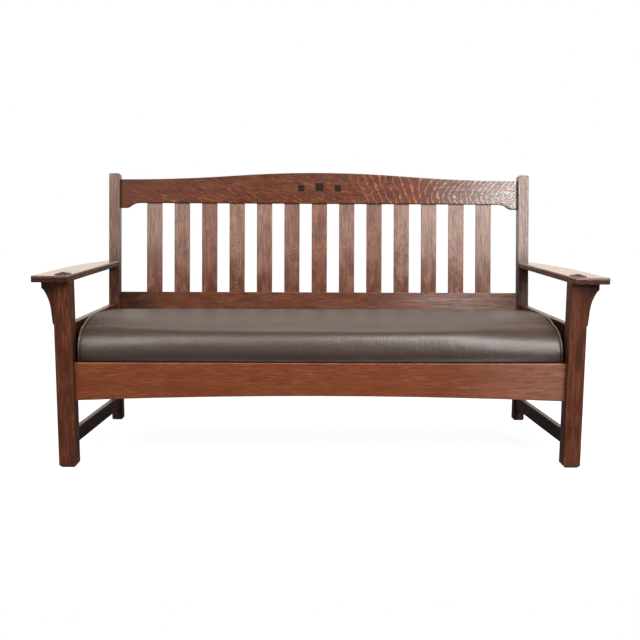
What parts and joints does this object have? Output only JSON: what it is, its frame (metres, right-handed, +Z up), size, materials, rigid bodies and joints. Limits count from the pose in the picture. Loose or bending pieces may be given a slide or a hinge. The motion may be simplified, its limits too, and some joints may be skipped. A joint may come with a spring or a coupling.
{
  "type": "settle",
  "caption": "Wooden settle with a slatted, leaning back, flat arms on corbels, an arched front rail and a drop-in leather seat that lifts out.",
  "frame": {"origin": "on the floor under the middle of the overall box", "axes": "+X along the width, to the right of someone facing the front of the settle; +Y to the back; +Z up"},
  "size_m": [1.8294, 0.77, 0.9756],
  "materials": {
    "fumed_oak": "satin wax over fumed quarter-sawn oak",
    "ebonised_oak": "satin",
    "plain_oak": "sawn, unfinished",
    "leather": "soft sheen",
    "dust_cloth": "matt cloth"
  },
  "bodies": {
    "frame": {"back_seat_cleat": "plain_oak", "back_seat_rail": "fumed_oak", "back_slat_01": "fumed_oak", "back_slat_02": "fumed_oak", "back_slat_03": "fumed_oak", "back_slat_04": "fumed_oak", "back_slat_05": "fumed_oak", "back_slat_06": "fumed_oak", "back_slat_07": "fumed_oak", "back_slat_08": "fumed_oak", "back_slat_09": "fumed_oak", "back_slat_10": "fumed_oak", "back_slat_11": "fumed_oak", "back_slat_12": "fumed_oak", "back_slat_13": "fumed_oak", "centre_crest_inlay": "ebonised_oak", "crest_rail": "fumed_oak", "front_seat_cleat": "plain_oak", "front_seat_rail": "fumed_oak", "left_arm": "fumed_oak", "left_back_post": "fumed_oak", "left_corbel": "fumed_oak", "left_crest_inlay": "ebonised_oak", "left_front_post": "fumed_oak", "left_seat_cleat": "plain_oak", "left_side_rail": "fumed_oak", "left_side_stretcher": "fumed_oak", "lower_back_rail": "fumed_oak", "right_arm": "fumed_oak", "right_back_post": "fumed_oak", "right_corbel": "fumed_oak", "right_crest_inlay": "ebonised_oak", "right_front_post": "fumed_oak", "right_seat_cleat": "plain_oak", "right_side_rail": "fumed_oak", "right_side_stretcher": "fumed_oak"},
    "seat": {"back_seat_frame_rail": "plain_oak", "front_seat_frame_rail": "plain_oak", "left_seat_frame_rail": "plain_oak", "right_seat_frame_rail": "plain_oak", "seat_brace_1": "plain_oak", "seat_brace_2": "plain_oak", "seat_brace_3": "plain_oak", "seat_cushion": "leather", "seat_dust_cover": "dust_cloth"}
  },
  "joints": [
    {"name": "seat_lift", "type": "slide", "parent": "frame", "child": "seat", "axis": [0, 0, 1], "range_m": [0, 0.36]}
  ]
}
